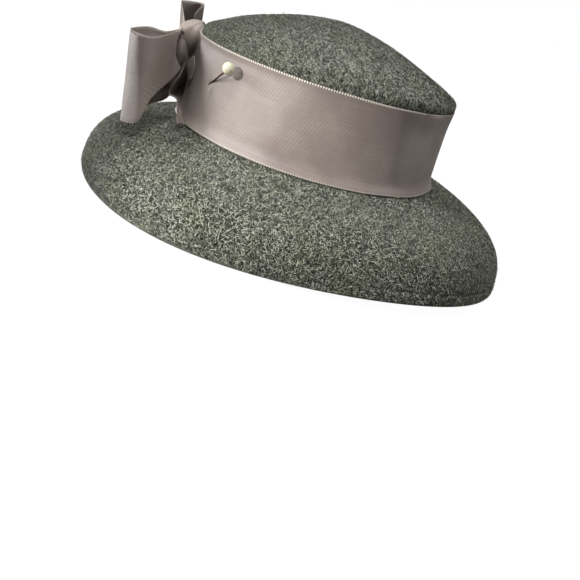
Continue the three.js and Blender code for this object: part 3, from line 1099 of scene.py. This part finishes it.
TAIL = (
    ((-5.5, -1.0, -12.9), (6.0, -2.0, -15.0)),  # under the knot
    ((-23.1, 1.1, -22.3), (12.0, -2.4, -27.0)),
    ((-31.5, 4.1, -32.5), (14.0, -2.4, -38.0)),
    ((-34.5, -1.9, -34.2), (12.0, -3.4, -43.5)),
    ((-39.8, -5.0, -38.8), (-12.0, -4.6, -43.8)),
    ((-44.2, -6.5, -43.5), (-38.0, -11.0, -43.9)),
    ((-49.1, -8.8, -46.4), (-46.0, -13.6, -45.8)),  # cut end
)
TUCK = (
    ((-14.3, -1.7, -11.3), (-21.0, -6.2, -4.6)),  # under the knot
    ((-20.6, -4.0, -15.9), (-28.8, -9.4, -10.4)),
    ((-25.8, -7.0, -20.4), (-29.6, -9.0, -18.4)),  # cut end
)


def right_loop(material):
    """The wearer's right loop: full and open at the top, gathered into the knot by one deep pleat."""

    def fold(u, v):
        towards_back = smooth(0.75, 1, u)
        folds = 2.6 * towards_back * math.sin(2 * math.pi * (2.4 * v + 0.15))
        ease = noise.noise(Vector((u * 6, v * 1.6, 3.1))) * 1.0 * smooth(0.3, 0.45, u) * (1 - towards_back)
        return folds + ease

    piece = ribbon("ribbon_loop_right", laid_between(RIGHT_LOOP, fold), 128, 30, material, "bow_loop_right")
    return piece


def left_loop(material):
    """The wearer's left loop: it stands out level, gathered where both its layers enter the knot."""

    def fold(u, v):
        from_knot = min(u, 1 - u) * 8
        gather = math.exp(-((from_knot / 0.8) ** 2))
        folds = 1.6 * gather * math.sin(2 * math.pi * (2.1 * v + 0.4))
        ease = noise.noise(Vector((u * 6, v * 1.6, 8.7))) * 1.0 * smooth(0, 1, from_knot)
        return folds + ease

    piece = ribbon("ribbon_loop_left", laid_between(LEFT_LOOP, fold), 97, 30, material, "bow_loop_left")
    return piece


def tail(material):
    """The free end: folded double, out from under the knot and down to the brim."""

    def fold(u, v):
        return 0.9 * math.sin(2 * math.pi * (1.6 * v + 0.3 * u)) * smooth(0, 0.35, u)

    piece = ribbon("ribbon_tail", laid_between(TAIL, fold), 61, 36, material, "bow_tail")
    return piece


FRAYED_THREADS = 22


def frayed_end(material):
    """Loose threads at the cut end of the tail, a few millimetres long."""
    upper, lower = (Vector(point) for point in TAIL[-1])
    onwards = (upper + lower - Vector(TAIL[-2][0]) - Vector(TAIL[-2][1])).normalized()
    hanging = onwards * 0.5 + Vector((0, 0.2, -0.7))
    noise.seed_set(7)
    mesh = bmesh.new()
    for i in range(FRAYED_THREADS):
        chance = noise.random_unit_vector()
        foot = upper.lerp(lower, (i + 0.5) / FRAYED_THREADS) - onwards * 1.0 + chance * 0.4
        length = 2.6 + 1.2 * chance.x
        direction = (hanging + chance * 0.5).normalized()
        turn = direction.to_track_quat("Z", "X").to_matrix().to_4x4()
        middle = BOW_FRAME @ (foot + direction * (length / 2))
        bmesh.ops.create_cone(
            mesh,
            cap_ends=True,
            segments=5,
            radius1=0.3,
            radius2=0.12,
            depth=length,
            matrix=Matrix.Translation(middle) @ turn,
        )
    piece = finish_piece(mesh, "ribbon_frayed_threads", material)
    return piece


def tuck(material):
    """The other end of the ribbon, a small flap between the knot and the band."""

    def fold(u, v):
        return 0.6 * math.sin(math.pi * v)

    piece = ribbon("ribbon_tuck", laid_between(TUCK, fold), 16, 12, material, None)
    return piece


# The knot's wrap from beside the band at the top, over and down to its foot: y and z of the line
# furthest out and of its two edges at the band, and half of its width.
KNOT_WRAP = (
    ((-4.6, 15.8), (-5.8, 15.0), 2.8),
    ((1.0, 15.0), (-6.2, 12.8), 6.0),
    ((6.0, 12.2), (-6.2, 9.8), 8.6),
    ((8.8, 7.6), (-6.0, 5.5), 9.6),
    ((8.4, 1.6), (-5.6, 1.0), 9.2),
    ((5.8, -4.2), (-4.4, -3.6), 7.6),
    ((2.6, -9.0), (-2.4, -7.4), 5.0),
    ((0.2, -12.6), (-1.4, -10.6), 2.6),
)
# Half of the wrap's section: how far out from the edge and how far to the side, as shares.
# The other half is its mirror image.
KNOT_SECTION = ((0.0, -1.0), (0.38, -1.02), (0.75, -1.0), (1.0, -0.8), (1.06, -0.4), (1.08, 0.0))
KNOT_FOLDS = 9.5
KNOT_FOLD_DEPTH = (0.2, 0.95)  # at the top, and where it is gathered below


def knot(material):
    """The knot: one turn of the ribbon, gathered into folds that run down it and pinched at the foot."""
    crest = [Vector((0, *out)) for out, inside, half in KNOT_WRAP]
    edges = [Vector((0, *inside)) for out, inside, half in KNOT_WRAP]
    halves = [Vector((half, 0, 0)) for out, inside, half in KNOT_WRAP]
    mirrored = [(out, -side) for out, side in KNOT_SECTION[-2::-1]]
    section = [Vector((*pair, 0)) for pair in (*KNOT_SECTION, *mirrored)]

    def place(u, v):
        out, side, _ = through(section, v)
        foot, crest_point = through(edges, u), through(crest, u)
        point = foot.lerp(crest_point, out) + through(halves, u) * side
        gather = smooth(0.2, 0.85, u)
        folds = math.cos(2 * math.pi * (KNOT_FOLDS * v + 0.35 * math.sin(2.5 * u + 9 * v)))
        depth = lerp(*KNOT_FOLD_DEPTH, gather) * smooth(0, 0.06, v) * smooth(0, 0.06, 1 - v)
        outwards = (point - foot.lerp(crest_point, 0.4)).normalized()
        return BOW_FRAME @ (point + outwards * (depth * folds))

    piece = ribbon("ribbon_knot", place, 36, 120, material, "bow_knot", picots=(0, 0))
    return piece


# ---- pin ----
CUP_LENGTH = 1.1
CUP_RADII = (1.9, 1.0)  # against the pearl, and round the wire


def pin_pieces(pearl, wire):
    """The hat pin: a pearl, and a wire held in a small cup, pushed slanting through band and felt."""
    way = PIN_ENTRY - PEARL_MIDDLE
    along = way.to_track_quat("Z", "Y").to_matrix().to_4x4()
    pin_frame = CROWN_FRAME @ Matrix.Translation(PEARL_MIDDLE) @ along
    bead = bmesh.new()
    bmesh.ops.create_uvsphere(bead, u_segments=48, v_segments=32, radius=PEARL_RADIUS)
    bmesh.ops.transform(bead, matrix=pin_frame, verts=bead.verts)
    piece = finish_piece(bead, "pearl_head", pearl)
    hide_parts("pin_pearl")

    length = way.length + PIN_PAST - PEARL_RADIUS
    shank = bmesh.new()
    bmesh.ops.create_cone(
        shank, cap_ends=True, segments=20, radius1=PIN_RADIUS, radius2=PIN_RADIUS, depth=length
    )
    bmesh.ops.translate(shank, vec=(0, 0, PEARL_RADIUS + length / 2), verts=shank.verts)
    cup = bmesh.ops.create_cone(
        shank, cap_ends=True, segments=24, radius1=CUP_RADII[0], radius2=CUP_RADII[1], depth=CUP_LENGTH
    )
    bmesh.ops.translate(shank, vec=(0, 0, PEARL_RADIUS + 0.3), verts=cup["verts"])
    bmesh.ops.transform(shank, matrix=pin_frame, verts=shank.verts)
    piece = finish_piece(shank, "pin_wire", wire)
    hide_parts("pin_shank")


# ---- studio ----
FLOOR_GLOW = 0.97  # how bright the camera sees the paper, apart from the light that falls on it
PAPER_BOUNCE = "#4a4a4a"
SKY_LIGHT = 0.02
SPOT_DISTANCE = 2000.0  # mm, far enough for nearly parallel light
SPOT_BLEND = 0.15
KEY_CONE = 14.0  # degrees from its middle to its edge
KEY_SIZE = 0.035  # metres across, for a soft edge beside the bow
SNOOT_CONE = 0.42
SNOOT_SIZE = 0.006
FLAG_EDGE = Vector((-62, 80, 85))  # on the band, in the middle of the light's soft edge
FLAG_AWAY = Vector((-0.91, -0.42, 0.0))  # from there into the light
KNOT_TOP = Vector((3, 119, 115))


def white_floor():
    """A sheet of paper that the camera sees as even white, and that throws little light on the hat."""
    floor_mesh = bmesh.new()
    bmesh.ops.create_grid(floor_mesh, x_segments=1, y_segments=1, size=30)
    data = bpy.data.meshes.new("floor")
    floor_mesh.to_mesh(data)
    floor_mesh.free()
    material, tree = new_material("white paper floor")
    seen = node(tree, "ShaderNodeLightPath").outputs["Is Camera Ray"]
    glow = node(tree, "ShaderNodeMath", {0: seen, 1: FLOOR_GLOW}, operation="MULTIPLY").outputs[0]
    shader = node(
        tree,
        "ShaderNodeBsdfPrincipled",
        {
            "Base Color": srgb(PAPER_BOUNCE),
            "Roughness": 0.9,
            "Emission Color": (1, 1, 1, 1),
            "Emission Strength": glow,
        },
    )
    node(tree, "ShaderNodeOutputMaterial", {"Surface": shader.outputs[0]})
    data.materials.append(material)
    floor = bpy.data.objects.new("floor", data)
    bpy.context.scene.collection.objects.link(floor)


def white_surround():
    """White all round to the camera, and nearly dark to the hat, which only the lamps light."""
    world = bpy.data.worlds.new("studio")
    world.use_nodes = True
    tree = world.node_tree
    tree.nodes.clear()
    seen = node(tree, "ShaderNodeLightPath").outputs["Is Camera Ray"]
    strength = node(
        tree, "ShaderNodeMapRange", {"Value": seen, "To Min": SKY_LIGHT, "To Max": 1.0}
    ).outputs[0]
    sky = node(tree, "ShaderNodeBackground", {"Color": (1, 1, 1, 1), "Strength": strength})
    node(tree, "ShaderNodeOutputWorld", {"Surface": sky.outputs[0]})
    bpy.context.scene.world = world
    bpy.context.scene.view_settings.view_transform = "Standard"


def towards(turn, rise):
    """The direction turned from the hat's +Y towards +X by one angle, and up by the other, in degrees."""
    turn, rise = math.radians(turn), math.radians(rise)
    return Vector((math.sin(turn) * math.cos(rise), math.cos(turn) * math.cos(rise), math.sin(rise)))


def add_lamp(name, kind, direction, place=(0, 0, 0)):
    """A lamp at a place in millimetres, shining from the direction given."""
    data = bpy.data.lights.new(name, kind)
    light = bpy.data.objects.new(name, data)
    light.rotation_euler = direction.to_track_quat("Z", "Y").to_euler()
    light.location = Vector(place) * MM + HAT_MIDDLE
    bpy.context.scene.collection.objects.link(light)
    return data


def soft_lamp(name, direction, strength, spread):
    """A lamp as wide as spread degrees seen from the hat."""
    lamp = add_lamp(name, "SUN", direction)
    lamp.energy = strength
    lamp.angle = math.radians(spread)


def spot_lamp(name, direction, strength, aim, half_cone, size):
    """A far spot. Its light is nearly parallel, and reaches what lies within half_cone degrees of its aim.
    Its own size, in metres, is how soft the edge of its light is."""
    lamp = add_lamp(name, "SPOT", direction, aim + direction * SPOT_DISTANCE)
    lamp.energy = strength * 4 * math.pi * (SPOT_DISTANCE * MM) ** 2
    lamp.spot_size = 2 * math.radians(half_cone)
    lamp.spot_blend = SPOT_BLEND
    lamp.shadow_soft_size = size


def flagged_lamp(name, direction, strength):
    """A spot aimed so that the soft edge of its cone lies beside the bow, cutting its light off there, so
    that the band is dark there.
    """
    away = (FLAG_AWAY - FLAG_AWAY.project(direction)).normalized()
    reach = SPOT_DISTANCE * math.tan(math.radians(KEY_CONE * 0.96))
    spot_lamp(name, direction, strength, FLAG_EDGE + away * reach, KEY_CONE, KEY_SIZE)


def light_studio():
    """Strong light from behind the bow, and a weaker one above."""
    soft_lamp("rim", towards(14, 6), 3.6, 18)  # low behind the bow
    soft_lamp("top", towards(-75, 84), 1.85, 30)
    soft_lamp("fill", towards(-165, 22), 0.85, 30)
    flagged_lamp("key", towards(-17, 14), 5.5)
    spot_lamp("snoot", towards(-80, 45), 3.0, KNOT_TOP, SNOOT_CONE, SNOOT_SIZE)


# ---- the whole ----
set_camera()
white_floor()
white_surround()
light_studio()

felt = felt_material()
wool = nap_material()
crown = felt_crown(felt)
brim = felt_brim(felt)
stitches(thread_material("dark grey sewing thread", "#2a2d27", "#565b50"))
brushed_nap(crown, brim, wool)
stray_hairs(crown, on_dome, "crown_stray_hairs", wool, shaved=DOME_SHOWS + 0.002)
stray_hairs(brim, on_brim_top, "brim_stray_hairs", wool)

grosgrain = grosgrain_material()
band_ribbon(grosgrain)
right_loop(grosgrain)
left_loop(grosgrain)
tail(grosgrain)
frayed_end(thread_material("tan ribbon threads", "#7a7064", "#cfc6b8"))
tuck(grosgrain)
knot(grosgrain)
pin_pieces(pearl_material(), pin_material())
